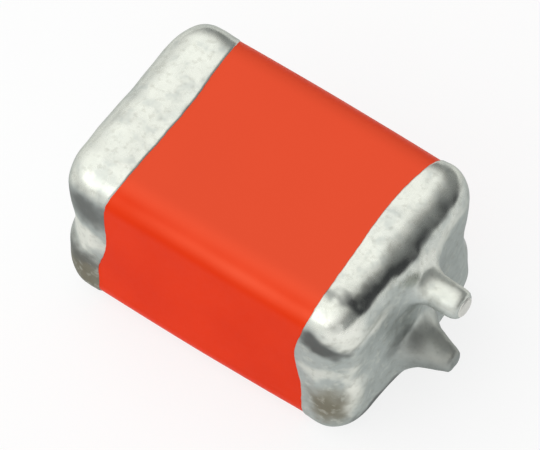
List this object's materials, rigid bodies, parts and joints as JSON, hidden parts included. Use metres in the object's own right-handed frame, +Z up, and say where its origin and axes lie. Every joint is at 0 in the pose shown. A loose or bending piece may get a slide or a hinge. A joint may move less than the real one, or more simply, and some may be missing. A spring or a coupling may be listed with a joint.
{
  "type": "tantalum capacitor",
  "caption": "Solid tantalum chip capacitor: a red epoxy-coated block with lumpy solder-coated ends and stubby wire nibs standing out of its anode end.",
  "frame": {"origin": "bottom centre of the whole part, nibs included, on the plane of its soldering lands", "axes": "+X along the length from the cathode end to the anode end with the nibs, +Y across the width, +Z up from the circuit board"},
  "size_m": [0.0074, 0.0044, 0.0039],
  "materials": {
    "red_epoxy": "smooth, satin gloss",
    "solder": "lumpy, half dull tin and lead solder",
    "nickel": "dull plating",
    "silver_filled_resin": "matt",
    "silver_paint": "matt",
    "graphite": "matt",
    "manganese_dioxide": "matt, crusty",
    "sintered_tantalum": "matt, porous",
    "washer": "waxy",
    "tantalum_wire": "drawn wire, sheared end"
  },
  "bodies": {
    "root": {"epoxy_coating": "red_epoxy", "cathode_solder_coat": "solder", "anode_solder_coat": "solder", "cathode_nickel_barrier": "nickel", "anode_nickel_barrier": "nickel", "cathode_base_coat": "silver_filled_resin", "anode_base_coat": "silver_filled_resin", "cathode_adhesive": "silver_filled_resin", "anode_bond": "silver_filled_resin", "upper_silver_layer": "silver_paint", "lower_silver_layer": "silver_paint", "upper_graphite_layer": "graphite", "lower_graphite_layer": "graphite", "upper_manganese_dioxide": "manganese_dioxide", "lower_manganese_dioxide": "manganese_dioxide", "upper_pellet": "sintered_tantalum", "lower_pellet": "sintered_tantalum", "upper_washer": "washer", "lower_washer": "washer", "upper_wire": "tantalum_wire", "lower_wire": "tantalum_wire"}
  },
  "joints": []
}
